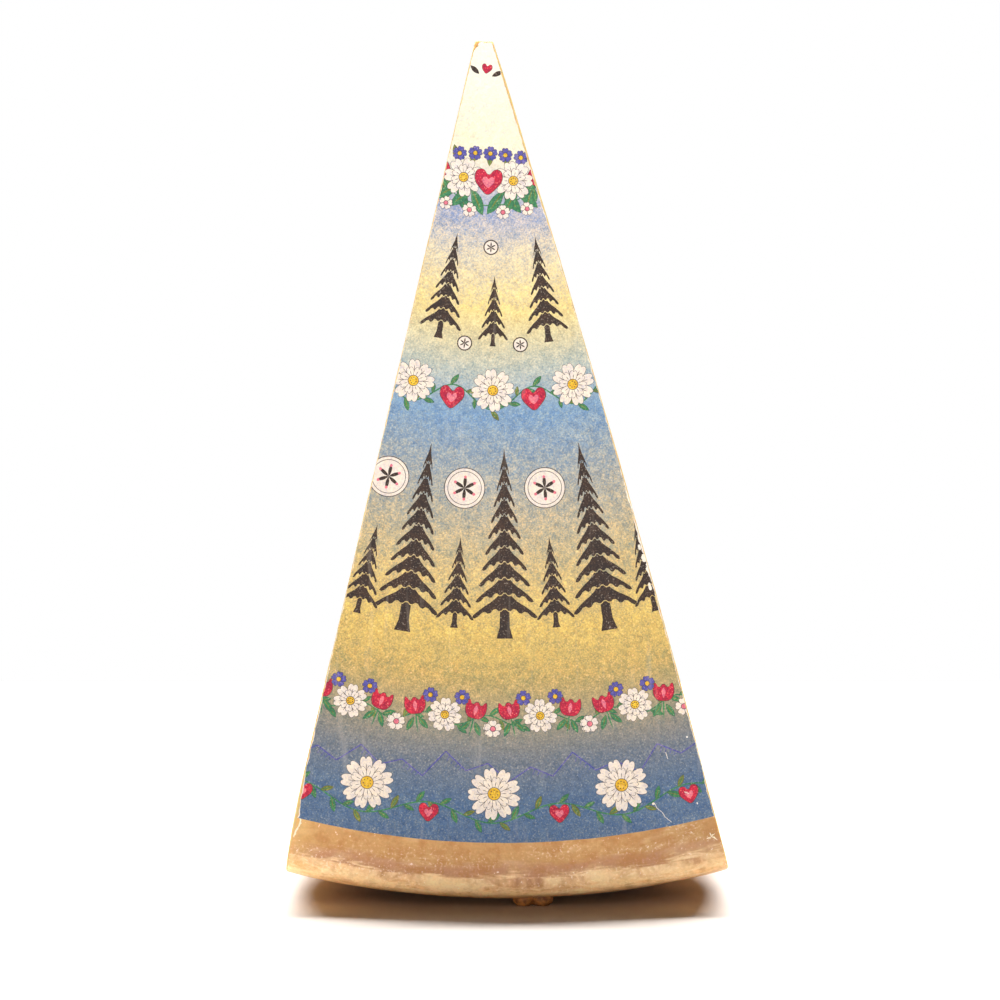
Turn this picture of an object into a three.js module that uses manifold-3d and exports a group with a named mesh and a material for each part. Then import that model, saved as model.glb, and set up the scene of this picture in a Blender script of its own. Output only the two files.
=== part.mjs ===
// A wedge of Swiss-type cheese, cut from a large wheel and stood on its rind, with the printed paper label of
// the wheel's top still glued to its front face. Millimetres, +Z up, +X to the right, the label facing -Y.
import * as THREE from "three";
import { mergeVertices } from "three/addons/utils/BufferGeometryUtils.js";
import Module from "manifold-3d";

// The wheel that the wedge was cut from. Its axis runs along Y, over the wedge.
const wheelRadius = 450; // at the middle of its rim, where it bulges most
const shoulderRadius = 441; // where the bulging rim meets the rounded shoulder
const faceRadius = 431.5; // where the flat of a face ends and the shoulder begins
const wheelHeight = 168; // between the two faces, at the wheel's centre
const faceDrop = 10; // how much lower the domed faces are at faceRadius
const shoulderDepth = 12; // from the edge of a face back to the bulging rim

// The two cuts. The knife missed the wheel's axis a little: they would meet to its left and under it.
const meetX = -9.3;
const meetZ = -7;
const leftCut = { side: -1, lean: THREE.MathUtils.degToRad(13.3), eyeSeed: 4711 };
const rightCut = { side: 1, lean: THREE.MathUtils.degToRad(16), eyeSeed: 1291 };
const tipDrop = 16.7; // from there down to the blunt tip
const rightBow = 2.9; // the right cut bows out in the middle of its length
const leftCornerLoss = 3; // the left cut runs in towards the rind
const cornerLength = 60; // length of that run, measured towards the axis
const flatDepth = 0.9; // the rind is pressed flat by the wedge's weight

// The paper label.
const labelRadius = 413.2;
const labelThickness = 0.3;
const labelGap = 0.3;
const labelInset = 0.8; // from each cut edge

// The eyes: gas bubbles that the two cuts opened.
const eyesPerCut = 16;
const eyeTries = 900;
const smallestEye = 4; // bubble radius
const largestEye = 17;
const eyeToTipRatio = 0.11; // near the thin tip an eye is no larger than this share of its distance along the cut
const eyeSpacing = 5; // least cheese between two eyes
const eyeToFace = 11; // least cheese between an eye and the rind of a face
const eyeToRim = 24;
const eyeToTip = 34;
const eyeSides = 16;
const eyeRings = 10;

// The scrap of rind squeezed out under the rim, which touches what the wedge stands on.
const scrapX = 14.5;
const scrapY = -45;
const scrapLobes = [
  { dx: -5, dy: 0, radii: [5.5, 4.5, 4.4] },
  { dx: 4, dy: 1, radii: [6, 5, 4.6] },
];

const axisHeight = wheelRadius - flatDepth;
const latheStep = THREE.MathUtils.degToRad(1.5);
const faceStations = [0, 70, 150, 230, 300, 360, 400, faceRadius];
const shoulderSteps = 5;
const rimSteps = 8;
const cutSteps = 14;

const wasm = await Module();
wasm.setup();

function toSolid(geometry) {
  const bare = geometry.index ? geometry.toNonIndexed() : geometry.clone();
  bare.deleteAttribute("normal");
  bare.deleteAttribute("uv");
  const merged = mergeVertices(bare, 1e-4);
  return new wasm.Manifold(
    new wasm.Mesh({
      numProp: 3,
      vertProperties: new Float32Array(merged.attributes.position.array),
      triVerts: new Uint32Array(merged.index.array),
    }),
  );
}

function toGeometry(solid) {
  const mesh = solid.getMesh();
  const geometry = new THREE.BufferGeometry();
  geometry.setAttribute("position", new THREE.BufferAttribute(mesh.vertProperties, 3));
  geometry.setIndex(new THREE.BufferAttribute(mesh.triVerts, 1));
  geometry.computeVertexNormals();
  return geometry;
}

// Where the front face lies at a distance from the axis. The back face is its mirror image.
function frontFaceY(radius) {
  return -wheelHeight / 2 + faceDrop * (radius / faceRadius) ** 2;
}

// Half of the wheel's outline, from the middle of the front face to the middle of the rim.
function frontOutline() {
  const points = faceStations.map((r) => new THREE.Vector2(r, frontFaceY(r)));
  const edgeY = frontFaceY(faceRadius);
  const rimY = edgeY + shoulderDepth;
  for (let i = 1; i <= shoulderSteps; i += 1) {
    const turn = (i / shoulderSteps) * (Math.PI / 2);
    points.push(
      new THREE.Vector2(
        faceRadius + (shoulderRadius - faceRadius) * Math.sin(turn),
        edgeY + shoulderDepth * (1 - Math.cos(turn)),
      ),
    );
  }
  for (let i = 1; i <= rimSteps; i += 1) {
    const y = rimY * (1 - i / rimSteps);
    const bulge = (wheelRadius - shoulderRadius) * (1 - (y / rimY) ** 2);
    points.push(new THREE.Vector2(shoulderRadius + bulge, y));
  }
  return points;
}

function lathe(profile) {
  return toSolid(new THREE.LatheGeometry(profile, Math.round((2 * Math.PI) / latheStep)));
}

function wheel() {
  const front = frontOutline();
  const back = front
    .slice(0, -1)
    .reverse()
    .map((p) => new THREE.Vector2(p.x, -p.y));
  return lathe([...front, ...back]);
}

// A point at a distance along a cut's straight line, and some way out from it, seen from the front with the wheel's
// axis at the origin.
function besideLine({ side, lean }, distance, out) {
  return new THREE.Vector2(
    meetX + side * (Math.sin(lean) * distance + Math.cos(lean) * out),
    meetZ - Math.cos(lean) * distance + Math.sin(lean) * out,
  );
}

// How far the real cut stands out from that line.
function cutOffset(cut, distance) {
  if (cut.side > 0) {
    const along = (distance - tipDrop) / (wheelRadius - tipDrop);
    return rightBow * Math.sin(Math.PI * Math.min(along, 1));
  }
  const radius = besideLine(cut, distance, 0).length();
  const run = Math.max(0, (radius - (wheelRadius - cornerLength)) / cornerLength);
  return -leftCornerLoss * run * run;
}

function cutPoint(cut, distance, inset) {
  return besideLine(cut, distance, cutOffset(cut, distance) - inset);
}

// The wedge's plan, seen from the front, as a solid that reaches past the wheel's faces and rim.
function plan(inset) {
  const beyond = 60;
  const cutLine = (cut) => {
    const tip = (tipDrop + inset * (1 - Math.sin(cut.lean))) / Math.cos(cut.lean);
    const points = [besideLine(cut, tip, -inset)];
    for (let i = 1; i <= cutSteps; i += 1) {
      points.push(cutPoint(cut, tip + (i / cutSteps) * (wheelRadius + 4 - tip), inset));
    }
    points.push(points.at(-1).clone().add(new THREE.Vector2(0, -beyond)));
    return points;
  };
  const outline = [...cutLine(leftCut), ...cutLine(rightCut).reverse()];
  const depth = wheelHeight + 2 * beyond;
  const block = new THREE.ExtrudeGeometry(new THREE.Shape(outline), { depth, bevelEnabled: false });
  block.translate(0, 0, -depth / 2);
  block.rotateX(Math.PI / 2); // the outline now stands upright, and the extrusion runs along Y
  return toSolid(block);
}

// A stream of repeatable numbers from 0 to 1.
function* draws(seed) {
  let state = seed;
  for (;;) {
    state = (state * 16807) % 2147483647;
    yield state / 2147483647;
  }
}

// The eyes of one cut: their distance along it, height across the wheel, radius, sinking and stretch.
function eyesOf(cut) {
  const eyes = [];
  const stream = draws(cut.eyeSeed);
  const draw = () => stream.next().value;
  for (let tries = 0; tries < eyeTries && eyes.length < eyesPerCut; tries += 1) {
    const nearest = tipDrop + eyeToTip;
    const distance = nearest + draw() * (wheelRadius - eyeToRim - nearest);
    const fromAxis = cutPoint(cut, distance, 0).length();
    const y = (draw() - 0.5) * wheelHeight;
    const size = smallestEye + (largestEye - smallestEye) * (1 - eyes.length / eyesPerCut) ** 1.4;
    const radius = Math.min(size, eyeToTipRatio * distance);
    const sinking = radius * (0.8 * draw() - 0.5); // how far the bubble's centre lies under the cut
    const stretch = 0.9 + 0.25 * draw();
    const reach = radius * Math.max(stretch, 1 / stretch);
    const clear =
      Math.abs(y) + reach + eyeToFace < -frontFaceY(fromAxis) &&
      fromAxis + reach + eyeToRim < wheelRadius &&
      eyes.every((e) => Math.hypot(e.distance - distance, e.y - y) > e.reach + reach + eyeSpacing);
    if (clear) eyes.push({ distance, y, radius, sinking, stretch, reach });
  }
  return eyes;
}

function eyeSolid(cut, eye) {
  const ball = new THREE.SphereGeometry(1, eyeSides, eyeRings);
  ball.scale(eye.radius, eye.radius / eye.stretch, eye.radius * eye.stretch);
  ball.rotateY(-cut.side * cut.lean); // its stretch now lies along the cut
  const centre = cutPoint(cut, eye.distance, eye.sinking);
  ball.translate(centre.x, eye.y, centre.y);
  return toSolid(ball);
}

function scrapSolid() {
  const lobes = scrapLobes.map(({ dx, dy, radii }) => {
    const lobe = new THREE.SphereGeometry(1, 12, 8);
    lobe.scale(...radii);
    lobe.translate(scrapX + dx, scrapY + dy, radii[2] * 0.8 - axisHeight);
    return toSolid(lobe);
  });
  return lobes.reduce((a, b) => a.add(b));
}

function floorCut() {
  const block = new THREE.BoxGeometry(400, 400, 100);
  block.translate(0, 0, -axisHeight - 50);
  return toSolid(block);
}

function cheeseSolid() {
  let solid = wheel().intersect(plan(0)).add(scrapSolid());
  for (const cut of [leftCut, rightCut]) {
    for (const eye of eyesOf(cut)) solid = solid.subtract(eyeSolid(cut, eye));
  }
  return solid.subtract(floorCut());
}

function labelSolid() {
  const innermost = tipDrop; // nearer the axis than any of the tip
  const stations = [innermost, ...faceStations.filter((r) => r > innermost && r < labelRadius), labelRadius];
  const under = stations.map((r) => new THREE.Vector2(r, frontFaceY(r) - labelGap));
  const over = stations.map((r) => new THREE.Vector2(r, frontFaceY(r) - labelGap - labelThickness)).reverse();
  return lathe([...over, ...under, over[0]].reverse()).intersect(plan(labelInset));
}

const cheese = new THREE.Mesh(
  toGeometry(cheeseSolid()),
  new THREE.MeshStandardMaterial({ color: "#e0b878", roughness: 0.5, metalness: 0 }),
);
cheese.name = "cheese";

const label = new THREE.Mesh(
  toGeometry(labelSolid()),
  new THREE.MeshStandardMaterial({ color: "#b9b39c", roughness: 0.75, metalness: 0 }),
);
label.name = "label";

// The wedge is centred over the origin, with the flat of its rind at height 0.
const part = new THREE.Group();
part.add(cheese, label);
const middle = new THREE.Box3().setFromObject(part).getCenter(new THREE.Vector3());
part.position.set(-middle.x, -middle.y, axisHeight);

export default part;
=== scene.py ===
import math
import random

import bmesh
import bpy
import numpy as np
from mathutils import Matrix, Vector, noise
from mathutils.geometry import delaunay_2d_cdt


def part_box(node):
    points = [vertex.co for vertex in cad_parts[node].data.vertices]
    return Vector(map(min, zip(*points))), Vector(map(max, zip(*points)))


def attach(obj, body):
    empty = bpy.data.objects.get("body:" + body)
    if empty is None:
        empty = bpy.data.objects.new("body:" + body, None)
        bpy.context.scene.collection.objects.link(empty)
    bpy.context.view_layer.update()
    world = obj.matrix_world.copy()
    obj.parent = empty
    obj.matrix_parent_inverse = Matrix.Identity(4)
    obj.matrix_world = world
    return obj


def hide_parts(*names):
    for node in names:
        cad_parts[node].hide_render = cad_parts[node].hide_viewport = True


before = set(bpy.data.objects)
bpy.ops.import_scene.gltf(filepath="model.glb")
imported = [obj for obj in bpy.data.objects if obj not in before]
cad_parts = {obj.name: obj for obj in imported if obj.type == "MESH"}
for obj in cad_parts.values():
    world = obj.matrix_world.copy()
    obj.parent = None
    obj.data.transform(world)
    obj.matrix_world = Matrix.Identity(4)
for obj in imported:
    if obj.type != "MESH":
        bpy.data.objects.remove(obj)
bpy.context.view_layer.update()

mm = 0.001  # shapes are worked out in millimetres round the wheel's axis, then placed in metres

# the wheel and the two cuts
wheel = {  # its axis runs along Y, above the wedge
    "radius": 450.0,  # at the middle of the rim, where it bulges most
    "shoulderRadius": 441.0,
    "faceRadius": 431.5,
    "height": 168.0,
    "faceDrop": 10.0,  # how much lower the domed faces are at faceRadius
    "shoulderDepth": 7.2,
    "shoulderTurn": 74.0,  # degrees of ellipse in the shoulder, so that it runs on into the bulge of the rim
    "rimPower": 1.7,  # 2 would be a parabola
    "flat": 0.9,  # the rind is pressed flat by the wedge's weight
}
cuts = {
    "meetX": -9.3,  # where the two cuts would meet, from the wheel's axis
    "meetZ": -7.0,
    "lean": {-1: math.radians(13.3), 1: math.radians(16.0)},
    "tipDrop": 16.7,
    "tipRounding": 1.1,
    "rightBow": 2.9,
    "leftCornerLoss": 3.0,
    "cornerLength": 60.0,
}
# width of the broken edge: on the left and right of the front by distance from the axis, and at the back
brokenEdge = {
    -1: {0: 0.3, 330: 0.3, 387: 0.5, 400: 1.1, 414: 1.6, 425: 1.3, 432: 0.9, 460: 0.8},
    1: {0: 0.3, 35: 0.8, 100: 0.8, 125: 0.3, 385: 0.3, 398: 0.8, 412: 0.6, 432: 0.6, 460: 0.8},
    "back": 0.7,
}


def faceY(radius):
    return -wheel["height"] / 2 + wheel["faceDrop"] * (radius / wheel["faceRadius"]) ** 2


def onFace(flat, front=-1):
    # flat places seen from the front, set on the wheel's front face or its back one
    return np.stack([flat[:, 0], -front * faceY(np.hypot(*flat.T)), flat[:, 1]], 1)


def atHeight(flat, y):
    # flat places seen from the front, set at a height across the wheel
    return np.insert(flat, 1, y, axis=-1)


def besideLine(side, distance, out):
    # a place by its distance along a cut's straight line, and how far it stands out from that
    lean = cuts["lean"][side]
    return np.array([
        cuts["meetX"] + side * (np.sin(lean) * distance + np.cos(lean) * out),
        cuts["meetZ"] - np.cos(lean) * distance + np.sin(lean) * out,
    ])


def cutOffset(side, distance):
    # how far the real cut stands out from its straight line
    if side > 0:
        along = (distance - cuts["tipDrop"]) / (wheel["radius"] - cuts["tipDrop"])
        return cuts["rightBow"] * np.sin(np.pi * np.clip(along, 0, 1))
    radius = np.hypot(*besideLine(side, distance, 0))
    run = np.clip(1 - (wheel["radius"] - radius) / cuts["cornerLength"], 0, None)
    return -cuts["leftCornerLoss"] * run ** 2


def cutPoint(side, distance):
    return besideLine(side, distance, cutOffset(side, distance))


def distanceAt(side, radius):
    # how far along a cut that distance from the axis is reached, found by correcting a guess
    distance = radius
    for _ in range(12):
        distance = distance + radius - np.hypot(*cutPoint(side, distance))
    return distance


def wobble(points, size, seed):
    # smooth noise between -1 and 1 for many points, in lumps of about that size
    shift = Vector((seed * 7.31, seed * 3.17, seed * 5.93))
    return np.array([noise.noise(Vector(p) / size + shift) for p in points])


def between(stops, radius):
    # a value that changes with the distance from the axis, from a few stops
    return np.interp(radius, list(stops), list(stops.values()))


def traceOutline():
    # the wedge seen from the front: up the left cut, over the tip and down the right cut
    rounding = cuts["tipRounding"]
    corners, distances, places = {}, {}, {}
    for side in (-1, 1):
        start = cuts["tipDrop"] / math.cos(cuts["lean"][side])
        corners[side] = besideLine(side, start, 0)
        distances[side] = np.arange(start + rounding, wheel["radius"] + 12, 0.5)
        places[side] = cutPoint(side, distances[side])
    flat = np.array([rounding, 0.0])
    steps = np.linspace(0, 1, 9)[1:-1]

    def bend(a, corner, b):
        return [(1 - s) ** 2 * a + 2 * s * (1 - s) * corner + s ** 2 * b for s in steps]

    leftTurn = bend(places[-1][:, 0], corners[-1], corners[-1] + flat)
    rightTurn = bend(corners[1] - flat, corners[1], places[1][:, 0])
    path = np.array([
        *places[-1].T[::-1], *leftTurn, corners[-1] + flat, corners[1] - flat, *rightTurn, *places[1].T])
    steps = np.hypot(*np.diff(path, axis=0).T)
    run = np.concatenate([[0], np.cumsum(steps)])
    slope = np.gradient(path, run, axis=0)
    slope /= np.hypot(*slope.T)[:, None]
    leftCount, rightCount = (len(distances[side]) for side in (-1, 1))
    tip = run[leftCount], run[-rightCount - 1]
    return {
        "run": run, "path": path, "inward": np.stack([slope[:, 1], -slope[:, 0]], 1),
        -1: (distances[-1], run[:leftCount][::-1]), 1: (distances[1], run[-rightCount:]),
        "tip": tip, "top": sum(tip) / 2,
    }


outline = traceOutline()


def outlineAt(run):
    return np.stack([np.interp(run, outline["run"], outline["path"][:, k]) for k in (0, 1)], -1)


def inwardAt(run):
    normal = np.stack([np.interp(run, outline["run"], outline["inward"][:, k]) for k in (0, 1)], -1)
    return normal / np.linalg.norm(normal, axis=-1, keepdims=True)


def runAt(side, distance):
    distances, runs = outline[side]
    return np.interp(distance, distances, runs)


def edgeWidth(run, depth):
    # how wide the crumbled edge is; depth is the height across the wheel, so that each face has its own
    place = outlineAt(run)
    left, right = (between(brokenEdge[side], np.hypot(*place.T)) for side in (-1, 1))
    front = np.where(run < outline["top"], left, right)
    width = np.where(depth < 0, front, brokenEdge["back"])
    points = np.stack([run, depth, np.zeros(len(run))], 1)
    return width * (1 + 0.35 * wobble(points, 2.2, 1) + 0.25 * wobble(points, 9.0, 2))


# relief of the surfaces
relief = {  # how far apart the waves are, and how high
    "lump": 26.0, "lumpHeight": 0.28, "dent": 5.0, "dentHeight": 0.09,
    "cutWave": 34.0, "cutHeight": 0.3, "ridge": 0.9, "ridgeHeight": 0.05, "grain": 3.0, "grainHeight": 0.05,
}


def rindRelief(points):
    low = wobble(points, relief["lump"], 3) * relief["lumpHeight"]
    return low + wobble(points, relief["dent"], 4) * relief["dentHeight"]


def cutRelief(points):
    # a wire drags through the paste: long waves, and fine ridges square to its way
    low = wobble(points, relief["cutWave"], 5) * relief["cutHeight"]
    ridges = wobble(points * np.array([0.35, 0.05, 0.35]), relief["ridge"], 6) * relief["ridgeHeight"]
    return low + ridges + wobble(points, relief["grain"], 7) * relief["grainHeight"]


def signedArea(places):
    x, y = np.array(places)[:, 0], np.array(places)[:, 1]
    return ((x * np.roll(y, -1) - np.roll(x, -1) * y).sum()) / 2


# collecting corners and faces
class Body:
    def __init__(self):
        self.points, self.faces, self.finishes = [], [], []
        self.traits = {"rind": [], "eye": [], "broken": []}

    def add(self, places, rind=0.0, eye=0.0, broken=0.0):
        first = len(self.points)
        self.points.extend(tuple(map(float, p)) for p in places)
        for name, value in (("rind", rind), ("eye", eye), ("broken", broken)):
            self.traits[name].extend(np.broadcast_to(value, len(places)).tolist())
        return list(range(first, len(self.points)))

    def strip(self, loopA, loopB, finish, closed=False):
        count = len(loopA)
        for i in range(count if closed else count - 1):
            j = (i + 1) % count
            self.faces.append((loopA[i], loopA[j], loopB[j], loopB[i]))
            self.finishes.append(finish)

    def patch(self, loops, inner, lift, finish, **traits):
        # loops are (corner numbers, flat places); the first is the outside, the others are holes
        flat, known, outlines = [], [], []
        for numbers, places in loops:
            order = range(len(flat), len(flat) + len(numbers))
            outlines.append(order if signedArea(places) > 0 else order[::-1])
            flat.extend(places)
            known.extend(numbers)
        flat.extend(inner)
        out = delaunay_2d_cdt([Vector(p[:2]) for p in flat], [], [list(o) for o in outlines], 1, 1e-5, True)
        places, triangles, origins, owners = out[0], out[2], out[3], out[5]
        numbers = [known[o[0]] if o and o[0] < len(known) else -1 for o in origins]
        kept = [t for t, owner in zip(triangles, owners) if list(owner) == [0]]
        fresh = sorted({i for t in kept for i in t if numbers[i] < 0})
        added = self.add(lift(np.array([places[i] for i in fresh])), **traits)
        for i, n in zip(fresh, added):
            numbers[i] = n
        for triangle in kept:
            self.faces.append(tuple(numbers[i] for i in triangle))
            self.finishes.append(finish)


rindFinish, pasteFinish = 0, 1
mesh = {
    "bandStart": 404.0,  # the margin, shoulders and rim are one band of even rows from here on
    "marginStep": 1.0,
    "shoulderSteps": 18,
    "rimStep": 1.8,
    "backStep": 2.2,
    "columns": 172,
    "edgeStep": 1.2,
    "hiddenStep": 13.0,  # under the label
    "backSpacing": 2.7,
    "cutSpacing": 2.3,
    "jitter": 0.18,  # of the spacing
    "edgeTurns": (0, 30, 60, 90),
}


def bandProfile():
    # radius, height and outward normal of each row, from the front margin over the rim to the back
    edgeY = faceY(wheel["faceRadius"])
    slope = 2 * wheel["faceDrop"] / wheel["faceRadius"]
    margin = np.arange(mesh["bandStart"], wheel["faceRadius"] - 0.2, mesh["marginStep"])
    backMargin = np.arange(wheel["faceRadius"] - mesh["backStep"], mesh["bandStart"], -mesh["backStep"])
    rows = [(r, faceY(r), slope, -1) for r in margin]
    turn = math.radians(wheel["shoulderTurn"])
    wide = (wheel["shoulderRadius"] - wheel["faceRadius"]) / math.sin(turn)
    deep = wheel["shoulderDepth"] / (1 - math.cos(turn))
    for i in range(mesh["shoulderSteps"]):
        a = turn * i / mesh["shoulderSteps"]
        rows.append((wheel["faceRadius"] + wide * math.sin(a), edgeY + deep * (1 - math.cos(a)),
                     deep * math.sin(a), -wide * math.cos(a)))
    rimY = edgeY + wheel["shoulderDepth"]
    bulge = wheel["radius"] - wheel["shoulderRadius"]
    power = wheel["rimPower"]
    steps = round(-rimY / mesh["rimStep"])
    for i in range(steps + 1):
        share = 1 - i / steps
        rows.append((wheel["shoulderRadius"] + bulge * (1 - share ** power), rimY * share,
                     1, power * bulge * share ** (power - 1) / rimY))
    toBack = rows[len(margin):-1][::-1] + [(r, faceY(r), slope, -1) for r in backMargin]
    rows = np.concatenate([rows, np.array(toBack) * [1, -1, 1, -1]])
    rows[:, 2:] /= np.hypot(rows[:, 2], rows[:, 3])[:, None]
    return rows


def fillet(body, run, y, inRun, inY):
    # loops round an edge, from the rind to the cut; inRun and inY point into the cut surface
    width = edgeWidth(run, y)
    place = atHeight(outlineAt(run), y)
    normal = atHeight(inwardAt(run), 0)
    radius = np.hypot(place[:, 0], place[:, 2])
    tilt = np.where(inRun == 0, -np.sign(y) * 2 * wheel["faceDrop"] * radius / wheel["faceRadius"] ** 2, 0)
    radial = place * [1, 0, 1] / radius[:, None]
    normal[:, 1] = tilt * (normal * radial).sum(1)
    ahead = 0.5
    into = atHeight((outlineAt(run + inRun * ahead) - outlineAt(run)) / ahead, inY)
    loops = []
    for turn in mesh["edgeTurns"]:
        a = math.radians(turn)
        spot = place + width[:, None] * (normal * (1 - math.sin(a)) + into * (1 - math.cos(a)))
        loops.append(body.add(spot, rind=1 - turn / 90, broken=1.0 if 0 < turn < 90 else 0.6))
    return loops, np.stack([run + inRun * width, y + inY * width], 1)


def edgeRuns():
    # where the edge between a flat margin and the cuts has its corners
    ends = [runAt(s, distanceAt(s, mesh["bandStart"])) for s in (-1, 1)]
    left, right = outline["tip"]
    turn = cuts["tipRounding"] * 1.9
    spans = [  # from, to and step; finer round the two bends of the tip
        (ends[0] + mesh["edgeStep"], left - 0.7, mesh["edgeStep"]), (left - 0.3, left + turn, 0.35),
        (left + turn + 0.7, right - turn - 0.5, mesh["edgeStep"]), (right - turn, right + 0.3, 0.35),
        (right + 1.0, ends[1] - mesh["edgeStep"] * 0.6, mesh["edgeStep"]),
    ]
    return np.concatenate([np.arange(*span) for span in spans])


# the eyes that the cuts opened
eyes = {
    "count": 16, "tries": 900, "seed": {-1: 4711, 1: 1291},
    "smallest": 4.0, "largest": 17.0, "toTipRatio": 0.11,
    "spacing": 5.0, "toFace": 11.0, "toRim": 24.0, "toTip": 34.0,
    "lip": 0.55,  # the knife leaves a slightly rounded lip
    "ripple": 4.0, "rippleHeight": 0.12,
}


def draws(seed):
    # a stream of repeatable numbers from 0 to 1
    state = seed
    while True:
        state = (state * 16807) % 2147483647
        yield state / 2147483647


def eyesOf(side):
    # the bubbles that one cut opened, large ones first, clear of each other and of the rind
    found, stream = [], draws(eyes["seed"][side])
    for _ in range(eyes["tries"]):
        if len(found) == eyes["count"]:
            break
        nearest = cuts["tipDrop"] + eyes["toTip"]
        distance = nearest + next(stream) * (wheel["radius"] - eyes["toRim"] - nearest)
        wheelRadius = np.hypot(*cutPoint(side, distance))
        y = (next(stream) - 0.5) * wheel["height"]
        left = 1 - len(found) / eyes["count"]
        size = eyes["smallest"] + (eyes["largest"] - eyes["smallest"]) * left ** 1.4
        radius = min(size, eyes["toTipRatio"] * distance)
        sinking = radius * (0.8 * next(stream) - 0.5)
        stretch = 0.9 + 0.25 * next(stream)
        reach = radius * max(stretch, 1 / stretch)
        if abs(y) + reach + eyes["toFace"] >= -faceY(wheelRadius):
            continue
        if wheelRadius + reach + eyes["toRim"] >= wheel["radius"]:
            continue
        if all(math.hypot(e["distance"] - distance, e["y"] - y) > e["reach"] + reach + eyes["spacing"]
               for e in found):
            found.append({"distance": distance, "y": y, "radius": radius, "sinking": sinking,
                          "stretch": stretch, "reach": reach})
    return found


def addEye(body, side, eye):
    # a bubble: rings from its lip down to its deepest point, slightly dented
    radius, sinking = eye["radius"], eye["sinking"]
    sides = int(np.clip(radius * 3.2, 20, 52))
    turn = np.linspace(0, 2 * np.pi, sides, endpoint=False)
    centreRun = runAt(side, eye["distance"])
    inward = atHeight(inwardAt(centreRun), 0)
    opening = math.sqrt(1 - (sinking / radius) ** 2)
    uneven = 1 + 0.035 * np.sin(2 * turn + radius) + 0.02 * np.sin(5 * turn + 2 * radius)

    def ring(share, extra, depth, trait):
        run = centreRun + (radius * eye["stretch"] * share * uneven + extra) * np.cos(turn)
        y = eye["y"] + (radius / eye["stretch"] * share * uneven + extra) * np.sin(turn)
        return body.add(atHeight(outlineAt(run), y) + inward * depth, eye=trait), np.stack([run, y], 1)

    lip, flat = ring(opening, eyes["lip"], 0.0, 0.0)
    loops = [lip, ring(opening, eyes["lip"] * 0.3, eyes["lip"] * 0.3, 0.15)[0]]
    rimAngle = math.acos(-sinking / radius)
    steps = max(5, int(radius * 0.75))
    for i in range(1, steps):
        a = rimAngle * (1 - i / steps)
        depth = sinking + radius * math.cos(a)
        if depth < eyes["lip"]:
            continue
        loops.append(ring(math.sin(a), 0.0, depth, min(1.0, 0.3 + depth / radius))[0])
    pole = body.add([atHeight(outlineAt(centreRun), eye["y"]) + inward * (sinking + radius)], eye=1.0)
    for a, b in zip(loops, loops[1:]):
        body.strip(a, b, pasteFinish, closed=True)
    last = loops[-1]
    for i, corner in enumerate(last):
        body.faces.append((corner, last[(i + 1) % sides], pole[0]))
        body.finishes.append(pasteFinish)
    return lip, flat


def scattered(lowX, highX, lowY, highY, step, jitter, seed):
    # points in staggered rows, nudged at random
    rng = random.Random(seed)
    out, odd, y = [], False, lowY
    while y < highY:
        x = lowX + (step / 2 if odd else 0)
        while x < highX:
            out.append((x + rng.uniform(-jitter, jitter) * step, y + rng.uniform(-jitter, jitter) * step))
            x += step
        y += step * 0.866
        odd = not odd
    return np.array(out)


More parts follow.
